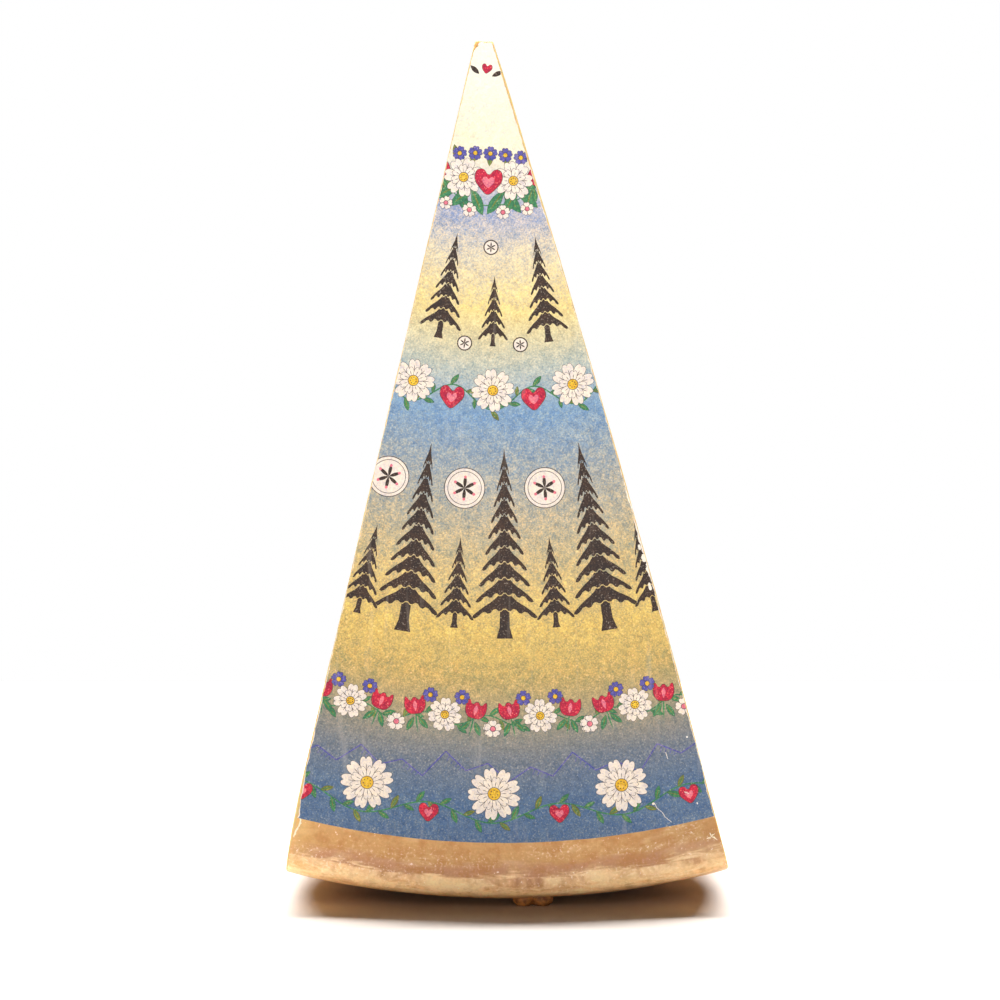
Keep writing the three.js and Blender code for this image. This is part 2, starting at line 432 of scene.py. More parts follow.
def buildCheese():
    body = Body()
    rows = bandProfile()
    rowEnds = {}
    for side in (-1, 1):
        distance = np.array([distanceAt(side, r) for r in rows[:, 0]])
        run = runAt(side, distance)
        rowEnds[side] = fillet(body, run, rows[:, 1], -side * rows[:, 2], -rows[:, 3])
    # on the flat margins the edge runs along the cut, so the break goes straight into it
    edges = edgeRuns()
    none = np.zeros(len(edges))
    faceEdges = {}
    for front in (-1, 1):
        place = outlineAt(edges)
        y = front * -faceY(np.hypot(place[:, 0], place[:, 1]))
        faceEdges[front] = fillet(body, edges, y, none, none - front)
    # one closed loop for each turn of the broken edge
    closed = []
    for k in range(len(mesh["edgeTurns"])):
        left, right = (rowEnds[side][0][k] for side in (-1, 1))
        front, back = (faceEdges[side][0][k] for side in (-1, 1))
        closed.append(left[::-1] + front + right + back[::-1])
    for a, b in zip(closed, closed[1:]):
        body.strip(a, b, pasteFinish, closed=True)
    # margins, shoulders and rim
    shares = np.linspace(0, 1, mesh["columns"] + 1)
    grid = []
    for i, row in enumerate(rows):
        ends = [rowEnds[s][0][0][i] for s in (-1, 1)]
        a, b = (np.array(body.points[e]) for e in ends)
        angles = [math.atan2(p[0], -p[2]) for p in (a, b)]
        radii = [math.hypot(p[0], p[2]) for p in (a, b)]
        angle = angles[0] + (angles[1] - angles[0]) * shares[1:-1]
        radius = radii[0] + (radii[1] - radii[0]) * shares[1:-1]
        y = a[1] + (b[1] - a[1]) * shares[1:-1]
        inner = body.add(np.stack([radius * np.sin(angle), y, -radius * np.cos(angle)], 1), rind=1.0)
        grid.append([ends[0], *inner, ends[1]])
    for a, b in zip(grid, grid[1:]):
        body.strip(a, b, rindFinish)
    # the two faces
    for front, row, step in ((-1, grid[0], mesh["hiddenStep"]), (1, grid[-1], mesh["backSpacing"])):
        loop = faceEdges[front][0][0] + row[::-1]
        flat = np.array([body.points[i] for i in loop])[:, [0, 2]]
        inner = scattered(-130, 130, -mesh["bandStart"] + step * 0.5, -30, step, mesh["jitter"], 11)
        inner = insideOnly(inner, flat, step * 0.45)
        body.patch([(loop, flat)], inner, lambda places: onFace(places, front), rindFinish, rind=1.0)
    # the two cuts and the tip between them are one surface
    cutFlat = np.concatenate([rowEnds[-1][1][::-1], faceEdges[-1][1], rowEnds[1][1], faceEdges[1][1][::-1]])
    holes = [addEye(body, side, eye) for side in (-1, 1) for eye in eyesOf(side)]
    low, high = cutFlat.min(0), cutFlat.max(0)
    inner = scattered(low[0], high[0], low[1], high[1], mesh["cutSpacing"], mesh["jitter"], 12)
    inner = insideOnly(inner, cutFlat, 0.9)
    for _, flat in holes:
        centre = flat.mean(0)
        span = flat.max(0) - centre
        share = np.hypot(*((inner - centre) / (span + 1.0)).T)
        inner = inner[share > 1]
    body.patch([(closed[-1], cutFlat), *holes], inner,
               lambda places: atHeight(outlineAt(places[:, 0]), places[:, 1]), pasteFinish)
    return body


def isInside(points, loop):
    # whether each point lies in the loop, by the sides that a ray from it crosses
    inside = np.zeros(len(points), bool)
    for (x1, y1), (x2, y2) in zip(loop, np.roll(loop, -1, axis=0)):
        crosses = (y1 > points[:, 1]) != (y2 > points[:, 1])
        if crosses.any():
            at = x1 + (points[crosses, 1] - y1) * (x2 - x1) / (y2 - y1)
            inside[crosses] ^= points[crosses, 0] < at
    return inside


def insideOnly(points, loop, margin):
    # the points inside a loop, and no nearer to it than the margin
    points = points[isInside(points, loop)]
    for chunk in np.array_split(loop, max(1, len(loop) // 200)):
        gaps = np.hypot(points[:, 0:1] - chunk[:, 0], points[:, 1:2] - chunk[:, 1]).min(1)
        points = points[gaps > margin]
    return points


axisPlace = Vector((  # of the middle of the wheel, from the part's own origin
    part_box("cheese")[1].x / mm - cutPoint(1, distanceAt(1, wheel["radius"]))[0],
    (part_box("cheese")[0].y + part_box("cheese")[1].y) / 2 / mm,
    wheel["radius"] - wheel["flat"],
))


def link(name, data):
    piece = bpy.data.objects.new(name, data)
    bpy.context.scene.collection.objects.link(piece)
    return piece


def makeMesh(name, points, faces, finishes, materials):
    # points are in mm from the wheel's axis; finishes are the faces' material slots
    data = bpy.data.meshes.new(name)
    data.from_pydata((np.array(points) + axisPlace) * mm, [], faces)
    for material in materials:
        data.materials.append(material)
    data.polygons.foreach_set("material_index", finishes)
    data.polygons.foreach_set("use_smooth", [True] * len(faces))
    work = bmesh.new()
    work.from_mesh(data)
    bmesh.ops.recalc_face_normals(work, faces=work.faces)
    work.to_mesh(data)
    work.free()
    data.update()
    return data


def cutGap(x, z):
    # mm round the wheel's curve to the nearer cut
    radii = np.linspace(cuts["tipDrop"] + 8, wheel["radius"] + 4, 120)
    radius = np.hypot(x, z)
    gaps = []
    for side in (-1, 1):
        ends = [cutPoint(side, distanceAt(side, r)) for r in radii]
        angle = np.interp(radius, radii, [math.atan2(e[0], -e[1]) for e in ends])
        gaps.append(side * (angle - np.arctan2(x, -z)) * radius)
    return np.clip(np.minimum(*gaps), 0, 60)


def makeCheese(materials):
    body = buildCheese()
    data = makeMesh("cheese", body.points, body.faces, body.finishes, materials)
    points = np.array(body.points)
    normals = np.array([v.vector for v in data.vertex_normals])
    rind, eye = (np.array(body.traits[name]) for name in ("rind", "eye"))
    rise = rind * rindRelief(points) + (1 - rind) * (1 - eye) * cutRelief(points)
    rise -= eye * wobble(points, eyes["ripple"], 8) * eyes["rippleHeight"]
    points = points + normals * rise[:, None]
    points[:, 2] = np.maximum(points[:, 2], -axisPlace.z)  # the flat that it stands on
    data.vertices.foreach_set("co", ((points + axisPlace) * mm).ravel())
    radius = np.hypot(points[:, 0], points[:, 2])
    depth = np.abs(points[:, 1])
    toRim = np.where(radius > wheel["faceRadius"] - 20, wheel["shoulderRadius"] + 5 - radius, 99)
    toFace = -faceY(np.minimum(radius, wheel["faceRadius"])) - depth
    body.traits["rindGap"] = np.clip(np.minimum(toRim, toFace), 0, 30)
    # mm past the edge of the face, which is less than 0 on the face itself
    past = np.clip(wheel["height"] / 2 - wheel["faceDrop"] - depth, 0, None)
    body.traits["ridge"] = np.where(radius < wheel["faceRadius"], radius - wheel["faceRadius"], past)
    body.traits["nearCut"] = cutGap(points[:, 0], points[:, 2])
    along = np.arctan2(points[:, 0], -points[:, 2]) * wheel["radius"]
    body.traits["scuff"] = np.where(points[:, 1] < 0, scuffAt(along, np.array(body.traits["ridge"])), 0)
    for name, values in body.traits.items():
        data.attributes.new(name, "FLOAT", "POINT").data.foreach_set("value", np.array(values, float))
    data.update()
    piece = link("cheeseWedge", data)
    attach(piece, "root")
    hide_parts("cheese")
    print("cheese:", len(data.vertices), "corners,", sum(len(f) - 2 for f in body.faces), "triangles")


# the label's print: a traditional alpine ornament, drawn in mm as (across, towards the wheel's axis)
def oval(width, height, x=0.0, y=0.0, sides=20):
    turns = np.linspace(0, 2 * np.pi, sides, endpoint=False)
    return np.stack([x + width / 2 * np.cos(turns), y + height / 2 * np.sin(turns)], 1)


def petal(length, width, start=0.0, bellyTanAndShade=1.3, steps=9, bend=0.0):
    # a pointed oval from the flower's middle outwards; a larger belly puts its widest place nearer the tip
    share = np.linspace(0, 1, steps + 1)
    half = width / 2 * np.sin(np.pi * share ** bellyTanAndShade) ** 0.8
    along = start + length * share
    lean = bend * share ** 2
    right = np.stack([lean + half, along], 1)
    left = np.stack([lean - half, along], 1)[1:-1][::-1]
    return np.concatenate([right, left])


def rounded(corners, times=2):
    # cutting the corners off again and again leaves a soft curve
    for _ in range(times):
        after = np.roll(corners, -1, axis=0)
        corners = np.stack([corners * 0.75 + after * 0.25, corners * 0.25 + after * 0.75], 1).reshape(-1, 2)
    return corners


def bothSides(rightHalf, times=2):
    # a shape from its right half, which starts and ends on the middle line
    right = np.array(rightHalf, float)
    return rounded(np.concatenate([right, right[-2:0:-1] * [-1, 1]]), times)


def heart(size):
    half = [(0, -0.52), (0.3, -0.22), (0.54, 0.08), (0.5, 0.46), (0.2, 0.54), (0, 0.22)]
    return bothSides(half) * size


def broadPetal(length, width):
    # round at its end, with a small notch
    half = [(0, 0.06), (0.16, 0.1), (0.42, 0.5), (0.52, 0.82), (0.36, 1.02), (0.12, 1.02), (0, 0.9)]
    return bothSides(half) * [width, length]


def spun(shape, degrees, x=0.0, y=0.0):
    a = math.radians(degrees)
    turn = np.array([[math.cos(a), -math.sin(a)], [math.sin(a), math.cos(a)]])
    return shape @ turn.T + [x, y]


def onWheel(radius, degrees):
    # a place on the face from its distance to the axis and the degrees to the right of straight down
    a = math.radians(degrees)
    return np.array([radius * math.sin(a), -radius * math.cos(a)])


class Drawing:
    def __init__(self):
        self.shapes = []  # (ink, places round the axis), later ones over earlier ones

    def stamp(self, ink, shape, spot, turn=0.0):
        radius, angle = spot
        self.shapes.append((ink, spun(spun(shape, turn), angle) + onWheel(radius, angle)))

    def outlined(self, ink, shape, spot, turn=0.0, line=0.3):
        centre = shape.mean(0)
        grown = shape + (shape - centre) / np.linalg.norm(shape - centre, axis=1, keepdims=True) * line
        self.stamp("outline", grown, spot, turn)
        self.stamp(ink, shape, spot, turn)

    def line(self, ink, stops, width):
        places = [onWheel(*stop) for stop in stops]
        for a, b in zip(places, places[1:]):
            side = np.array([b[1] - a[1], a[0] - b[0]])
            side *= width / 2 / np.linalg.norm(side)
            self.shapes.append((ink, np.array([a - side, b - side, b + side, a + side])))

    def flower(self, spot, size, petals, ink="chalk", eye="egg", turn=0.0, rings=1):
        # each further ring is smaller and half a petal on
        for ring in range(rings):
            reach = size / 2 * (1 - 0.36 * ring)
            for k in range(petals):
                way = turn + 360 * (k + ring / 2) / petals
                self.outlined(ink, broadPetal(reach, 4.3 * reach / petals), spot, way, line=0.2)
                if size > 12:
                    self.stamp("outline", petal(reach * 0.34, 0.3, reach * 0.42), spot, way)
        middle = size * (0.3 if rings == 1 else 0.24)
        self.outlined(eye, oval(middle, middle), spot)
        if size > 12:
            for k in range(7):
                self.stamp("bark", oval(0.6, 0.6, 0, middle * 0.3, sides=6), spot, 360 * k / 7)

    def leaf(self, spot, length, turn, ink="leaf", vein="olive", start=0.0):
        shape = petal(length, length * 0.36, start, bellyTanAndShade=1.0, steps=8)
        self.outlined(ink, shape, spot, turn, line=0.16)
        self.stamp(vein, petal(length * 0.8, length * 0.05 + 0.12, start, steps=3), spot, turn)

    def hexafoil(self, spot, size, ink):
        # the six petals that compasses draw: where two circles round neighbouring points overlap
        def onCircle(degrees):
            turns = np.radians(degrees)
            return size / 2 * np.stack([np.cos(turns), np.sin(turns)], -1)

        arc = np.linspace(0, 60, 7)
        for across in range(30, 390, 60):
            away = onCircle(across + 60) + onCircle(across + 240 + arc)
            back = onCircle(across - 60) + onCircle(across + 60 + arc[1:-1])
            self.stamp(ink, np.concatenate([away, back]) * 0.94, spot)

    def roundel(self, spot, size, ink):
        for ring, less in (("outline", 0.0), ("chalk", 0.8), ("outline", 3.4), ("chalk", 4.0)):
            self.stamp(ring, oval(size - less, size - less, sides=44), spot)
        self.hexafoil(spot, size - 6.5, ink)
        for k in range(6):
            self.stamp("rose", oval(1.5, 1.5, 0, size / 2 - 4.6, sides=8), spot, 60 * k)

    def fir(self, spot, height, width, tiers):
        # a cut-paper fir: drooping scalloped tiers with a slit of bare field between them
        trunk = np.array([(0.045, -0.03), (0.028, 0.03), (0.024, 0.2)])
        self.stamp("bark", np.concatenate([trunk, trunk[::-1] * [-1, 1]]) * height, spot)
        half = [(0, 0.26), (0.14, 0.1), (0.3, 0.24), (0.46, 0.0), (0.62, 0.14), (0.84, -0.14),
                (1.02, -0.1), (0.66, 0.26), (0.34, 0.5), (0.14, 0.76), (0, 1.04)]
        slit = 0.054 * height ** 0.5
        for k in range(tiers):
            low = height * (0.1 + 0.86 * k / tiers)
            tall = height * min(1.75 * 0.86 / tiers, 1 - low / height)
            wide = width / 2 * (1 - 0.94 * (k / tiers) ** 0.9)
            tier = bothSides(half, 1) * [wide, tall]
            self.stamp("field", tier * [1.05, 1] + [0, low - slit], spot)
            self.stamp("bark", tier + [0, low], spot)

    def tulip(self, spot, size, turn=0.0):
        self.stamp("leaf", petal(size * 0.9, size * 0.07, -size * 0.8), spot, turn)
        for side in (-1, 1):
            self.leaf(spot, size * 0.62, turn + 180 - 34 * side, start=size * 0.16)
        cup = [(0, 0), (0.26, 0.02), (0.42, 0.26), (0.42, 0.56), (0.34, 0.78), (0.18, 0.5), (0, 0.72)]
        self.outlined("poppy", bothSides(cup, 1) * size, spot, turn)
        self.stamp("rose", petal(size * 0.44, size * 0.16, size * 0.1), spot, turn)

    def garland(self, radius, swing, period, first, last, leafSize=6.0, leafGap=1.05, phase=0.0):
        # a stem that swings to and fro along the wheel's curve, with a leaf to each side in turn
        def stemAt(angle):
            return radius + swing * np.sin(2 * np.pi * (angle - phase) / period)

        self.line("leaf", [(stemAt(a), a) for a in np.arange(first, last, 0.5)], 0.7)
        for k, angle in enumerate(np.arange(first, last, leafGap)):
            side = 1 if k % 2 else -1
            rise = (stemAt(angle + 0.1) - stemAt(angle - 0.1)) / math.radians(0.2) / radius
            turn = -90 - math.degrees(math.atan(rise)) + 44 * side
            inkNames = ("leaf", "olive") if k % 3 else ("olive", "leaf")
            self.leaf((stemAt(angle), angle), leafSize * (0.85 + 0.3 * (k * 7 % 5) / 4), turn, *inkNames)

    def skyline(self, radius, peaks, first, last, ink):
        # summits along the wheel's curve, with strokes of shade down their right flanks
        step = (last - first) / (len(peaks) - 1)
        tops = [(radius - height, first + step * k) for k, height in enumerate(peaks)]
        self.line(ink, tops, 0.55)
        for before, (r, angle), (nextR, _) in zip(tops, tops[1:], tops[2:]):
            if r < before[0] and r < nextR:
                for k in range(1, 5):
                    start = r + (nextR - r) * k / 5, angle + step * k / 5
                    end = start[0] + 3.2 - k * 0.4, start[1] - step * 0.12
                    self.line(ink, [start, end], 0.28)


inks = {  # in the order in which the material slots follow the field and the paper
    "outline": "#463a36", "bark": "#3a2c26", "chalk": "#e2d7cc", "egg": "#d9ad2d",
    "poppy": "#b7203e", "rose": "#d87182", "leaf": "#3b7c52", "olive": "#707938", "gentian": "#56529d",
}

wear = {  # of the print; places as distance from the axis and degrees to the right of straight down
    "scratches": [
        ([(400.7, 10.7), (403.2, 10.8), (405.7, 11.1), (408.4, 11.25), (411.4, 11.6)], 0.24),
        ([(377.0, 12.2), (380.5, 12.25)], 0.3), ([(398.0, 12.9), (399.5, 13.2)], 0.3),
    ],
    "rubs": [  # with width and height
        ((400.6, 10.6), 1.3, 1.1), ((276.0, 13.95), 1.6, 3.0), ((281.5, 14.1), 2.2, 4.0),
        ((296.0, 14.0), 1.5, 3.4), ((372.0, 14.0), 0.8, 0.8), ((405.0, 13.6), 0.7, 1.2),
    ],
}


def drawPrint():
    art = Drawing()
    # a sprig at the tip
    for angle, turn in ((-16, 62), (-7, -58)):
        art.leaf((41, angle), 5.6, turn, "bark", "bark")
    art.outlined("poppy", heart(4.6), (38, -11.5), line=0.15)
    # wreath
    middle = -4.3
    art.line("leaf", [(103 - 0.04 * a * a, middle + a) for a in np.arange(-14, 14.1, 1)], 0.6)
    for away in (-13.5, -8.5, -4.5, 4.5, 8.5, 13.5):
        for turn in (140, 215):
            art.leaf((97 - 0.25 * abs(away), middle + away), 13.5, turn + away)
    for away in (-10.6, -5.3, 0, 5.3, 10.6):
        art.leaf((84, middle + away), 8.0, -2.5 * away, "olive", "leaf")
        art.flower((78 + 0.02 * away ** 2, middle + away), 6.4, 5, ink="gentian")
    for side in (-1, 1):
        art.tulip((94, middle + 13.4 * side), 10.5, -34 * side)
        art.flower((91, middle + 7.6 * side), 18.0, 7, turn=10 * side, rings=2)
        art.flower((106, middle + 4.4 * side), 6.5, 5, eye="rose")
        art.flower((105, middle + 10.8 * side), 6.0, 5, eye="rose")
    art.outlined("poppy", heart(12.5), (92, middle))
    art.stamp("rose", heart(5.5), (92, middle))
    # firs on the first warm field, and small seals between them
    for angle, height, width, tiers in ((-10.6, 50, 21, 7), (7.6, 50, 21, 7), (-1.6, 33, 15, 5)):
        art.fir((170 - abs(angle) * 0.2, angle), height, width, tiers)
    for spot in ((123, -2.6), (170, -6.2), (170, 2.9)):
        art.stamp("bark", oval(7.4, 7.4, sides=24), spot)
        art.stamp("chalk", oval(6.2, 6.2, sides=24), spot)
        art.hexafoil(spot, 5.4, "bark")
    # first blue band: a vine with blossoms and hearts
    art.garland(196, 5.5, 11.6, -16, 14, leafSize=5.6, leafGap=1.2, phase=-4.2)
    for angle in (-13.0, -1.4, 10.2):
        art.flower((192, angle), 20.0, 8, turn=8, rings=2)
    for angle in (-7.2, 4.4):
        art.outlined("poppy", heart(11.0), (197, angle))
        art.stamp("rose", heart(4.6), (197, angle))
    # tall firs on the second field, small ones between them under roundels
    for angle in (-9.0, 0.2, 9.6):
        art.fir((310, angle), 90, 33, 10)
    for angle in (-13.3, -4.4, 4.9, 14.0):
        art.fir((307, angle), 43, 19, 6)
    for angle in (-13.3, -4.4, 4.9):
        art.roundel((240, angle), 20.0, "bark")
    # garland of tulips
    art.garland(353, 2.6, 5.0, -15.5, 15.8, leafSize=6.0, leafGap=0.85)
    for angle in (-12.2, -4.6, 3.0, 10.6):
        for side in (-1, 1):
            art.tulip((352, angle + 2.3 * side), 12.0, -12 * side)
            art.flower((342, angle + 1.3 * side), 7.0, 5, ink="gentian")
            art.flower((357, angle + 3.75 * side), 8.0, 5, eye="rose")
        art.flower((351, angle), 16.0, 7, rings=2)
    # second blue band: summits, a leafy swag, broad blossoms and hearts
    peaks = [0, 8, 3, 13, 5, 9, 2, 15, 6, 10, 1, 8, 3, 14, 4, 7, 0, 12, 5, 9, 2]
    art.skyline(384, peaks, -15.5, 16.5, "gentian")
    art.garland(399, 4.5, 9.2, -15.5, 16.0, leafSize=7.0, leafGap=0.85, phase=-3.0)
    for angle in (-9.8, -0.6, 8.6):
        art.flower((389, angle), 25.0, 9, turn=12, rings=2)
    for angle in (-14.2, -5.2, 4.0, 13.2):
        art.outlined("poppy", heart(9.0), (400, angle))
        art.stamp("rose", heart(3.8), (400, angle))
    # scratches and rubbed places, down to the bare paper
    for stops, width in wear["scratches"]:
        art.line("paper", stops, width)
    for spot, width, height in wear["rubs"]:
        shape = oval(width, height)
        away = 1 + 0.5 * wobble(np.insert(shape, 2, spot[0], axis=1), 1.6, 26)
        art.stamp("paper", shape * away[:, None], spot)
    return art.shapes


label = {
    "radius": 413.2, "lift": 0.28, "thickness": 0.34,
    "frontStep": 2.6, "backStep": 7.0,  # spacing of the corners between the shapes, and on the hidden side
    "edgeStep": 0.9, "arcSteps": 190,
    "sideGap": 0.12,  # from the broken edge to the paper
    "torn": {  # width of the bare strip along the left and right edge, by distance from the wheel's axis
        -1: {0: 0.15, 250: 0.1, 330: 0.2, 413: 0.3},
        1: {0: 0.15, 220: 0.2, 265: 0.5, 285: 0.8, 300: 0.2, 413: 0.2},
    },
    "bareCorner": 2.4,  # the paper's top left corner is gone
    "bleed": 1.2,  # the print reaches past the sheet's round edge
}


def labelOutline():
    # the sheet's edge, and the edge of its print inside the torn strip of bare paper
    low, high = (runAt(s, distanceAt(s, label["radius"])) for s in (-1, 1))
    runs = np.arange(low, high, label["edgeStep"])
    place = outlineAt(runs)
    radius = np.hypot(*place.T)
    torn = np.where(runs < outline["top"], *(between(label["torn"][side], radius) for side in (-1, 1)))
    spots = np.stack([runs, np.zeros(len(runs)), np.zeros(len(runs))], 1)
    inset = edgeWidth(runs, faceY(radius)) + label["sideGap"]
    inset += 0.22 * wobble(spots, 3.0, 21) + 0.16 * wobble(spots, 1.1, 22)
    inset += np.exp(-((runs - outline["tip"][0]) / 2.2) ** 2) * label["bareCorner"]
    torn = torn * np.clip(0.9 + 1.5 * wobble(spots, 5.0, 23) + 0.8 * wobble(spots, 1.3, 24), 0.25, 3)
    inward = inwardAt(runs)
    sheet = place + inward * inset[:, None]
    printed = place + inward * (inset + torn)[:, None]

    def closed(path, radius):
        # both long edges, and the round edge between their ends
        a, b = (math.atan2(p[0], -p[1]) for p in (path[-1], path[0]))
        angles = np.linspace(a, b, label["arcSteps"])
        edge = radius + 0.12 * wobble(np.stack([angles * 400, angles * 0, angles * 0], 1), 7.0, 25)
        arc = np.stack([edge * np.sin(angles), -edge * np.cos(angles)], 1)
        inside = np.hypot(*path.T) < radius - 0.6
        return np.concatenate([path[inside], arc])

    return closed(sheet, label["radius"]), closed(printed, label["radius"] + label["bleed"])


def labelGrid(step, seed, sheet, margin):
    return insideOnly(scattered(-125, 125, -label["radius"], -20, step, 0.1, seed), sheet, margin)


def labelFront(sheet, printed):
    # one flat sheet whose triangles follow every shape of the print, each with the slot of its ink
    shapes = [("field", printed), *drawPrint()]
    places, lines = [], []
    for shape in [sheet, *(shape for _, shape in shapes)]:
        first, count = len(places), len(shape)
        lines.extend((first + i, first + (i + 1) % count) for i in range(count))
        places.extend(shape)
    places.extend(labelGrid(label["frontStep"], 31, sheet, 0.8))
    out = delaunay_2d_cdt([Vector(p) for p in places], lines, [], 0, 1e-5, False)
    flat, triangles = np.array([tuple(p) for p in out[0]]), np.array(out[2])
    middles = flat[triangles].mean(1)
    slots = ["paper", "field", *inks]
    finishes = np.zeros(len(triangles), int)
    isPrinted = isInside(middles, printed)
    for ink, shape in shapes:
        low, high = shape.min(0), shape.max(0)
        near = np.flatnonzero(isPrinted & ((middles > low) & (middles < high)).all(1))
        finishes[near[isInside(middles[near], shape)]] = slots.index(ink)
    kept = isInside(middles, sheet)
    used, faces = np.unique(triangles[kept], return_inverse=True)
    return flat[used], [tuple(f) for f in faces.reshape(-1, 3).tolist()], finishes[kept].tolist()


def labelBack(flat, faces, sheet):
    # the sheet's hidden side, coarser but for its border, and the strip that joins it to the front
    sides = {(a, b) for f in faces for a, b in zip(f, f[1:] + f[:1])}
    border = sorted((a, b) for a, b in sides if (b, a) not in sides)
    atBack = {a: k for k, (a, _) in enumerate(border)}
    lines = [(atBack[a], atBack[b]) for a, b in border]
    places = np.concatenate([flat[list(atBack)], labelGrid(label["backStep"], 32, sheet, 4.0)])
    out = delaunay_2d_cdt([Vector(p) for p in places], lines, [], 0, 1e-5, False)
    triangles = np.array(out[2])
    triangles = triangles[isInside(places[triangles].mean(1), sheet)]
    count = len(flat)
    skirt = [(a, b, atBack[b] + count, atBack[a] + count) for a, b in border]
    return places, [tuple(f) for f in (triangles[:, ::-1] + count).tolist()] + skirt


def unwrapLabel(data, frontCount):
    # seen from the front, with the hidden faces small in a corner
    low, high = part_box("label")
    size = high.z - low.z + 0.02
    uv = data.uv_layers.new(name="OFBake")
    for face in data.polygons:
        hidden = face.index >= frontCount
        for corner in face.loop_indices:
            co = data.vertices[data.loops[corner].vertex_index].co
            u, v = (co.x - low.x) / size + 0.01, (co.z - low.z) / size + 0.02
            uv.data[corner].uv = (0.75 + u * 0.2, 0.75 + v * 0.2) if hidden else (u, v)


def makeLabel(materials):
    sheet, printed = labelOutline()
    flat, faces, finishes = labelFront(sheet, printed)
    backFlat, backFaces = labelBack(flat, faces, sheet)
    points = onFace(np.concatenate([flat, backFlat]))
    points[:, 1] -= label["lift"] + rindRelief(points)
    points[len(flat):, 1] += label["thickness"]  # the back sinks into the rind, as if glued down
    allFaces = faces + backFaces
    data = makeMesh("label", points, allFaces, finishes + [0] * len(backFaces), materials)
    data.set_sharp_from_angle(angle=math.radians(40))
    unwrapLabel(data, len(faces))
    piece = link("paperLabel", data)
    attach(piece, "root")
    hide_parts("label")
    print("label:", len(data.vertices), "corners,", sum(len(f) - 2 for f in allFaces), "triangles")


# materials
def linearColour(hexCode):
    channels = [int(hexCode[i:i + 2], 16) / 255 for i in (1, 3, 5)]
    return [c / 12.92 if c < 0.04045 else ((c + 0.055) / 1.055) ** 2.4 for c in channels] + [1.0]


def addNode(tree, kind, inputs=None, **settings):
    node = tree.nodes.new("ShaderNode" + kind)
    for name, value in settings.items():
        setattr(node, name, value)
    for key, value in (inputs or {}).items():
        if isinstance(value, bpy.types.NodeSocket):
            tree.links.new(value, node.inputs[key])
        else:
            node.inputs[key].default_value = value
    return node


def newMaterial(name, sockets):
    material = bpy.data.materials.new(name)
    material.use_nodes = True
    shader = material.node_tree.nodes["Principled BSDF"]
    for socket, value in sockets.items():
        shader.inputs[socket].default_value = value
    return material, material.node_tree, shader


def rampStops(ramp, stops):
    # stops are (place, colour); a fresh ramp has two, which the first and last stop take
    elements = ramp.color_ramp.elements
    for element, (place, colour) in ((elements[0], stops[0]), (elements[1], stops[-1])):
        element.position = place
        element.color = colour
    for place, colour in stops[1:-1]:
        elements.new(place).color = colour


def grainOf(size):
    return 1 / (size * mm)  # a texture's scale from the size of its grain in mm


def fromAxis(tree, place):
    # to the right of the wheel's axis and down from it, in metres
    away = addNode(tree, "VectorMath", {0: place, 1: axisPlace * mm}, operation="SUBTRACT").outputs[0]
    return addNode(tree, "VectorMath", {0: away, 1: (1, 0, -1)}, operation="MULTIPLY").outputs[0]


# wet-strength label paper, printed and glued to the rind: matt, its ink broken up by the paper's fibres
paper = {
    "sheet": {"Roughness": 0.6, "Specular IOR Level": 0.3, "IOR": 1.45},
    "grain": 0.8, "fibre": 1.9, "blotch": 4.5, "cloud": 45.0, "streak": 5.0,  # mm
    "drift": 3.5, "sway": 2.5,  # mm by which neighbouring bands mix, in specks and in blotches
    "bare": "#eae2d4",
    "cool": (0.36, 0.49, 0.66), "warm": (0.64, 0.51, 0.34),  # the screens print side by side
    "ground": {  # the printed ground, by mm from the wheel's axis
        "pale": (30, "#ece9da"), "cream": (78, "#e8dfc4"), "lilac": (105, "#969fbc"),
        "sand": (131, "#d5c8a8"), "straw": (154, "#dec986"), "haze": (180, "#b2b7ab"),
        "sky": (203, "#7697b8"), "mist": (224, "#8d9ba6"), "stone": (248, "#a7a394"),
        "wheat": (280, "#c2ad7c"), "honey": (310, "#cfb366"), "ripe": (333, "#b9a062"),
        "taupe": (355, "#938c77"), "slate": (373, "#6b7481"), "river": (394, "#516b8c"),
        "night": (410, "#566e8e"),
    },
}


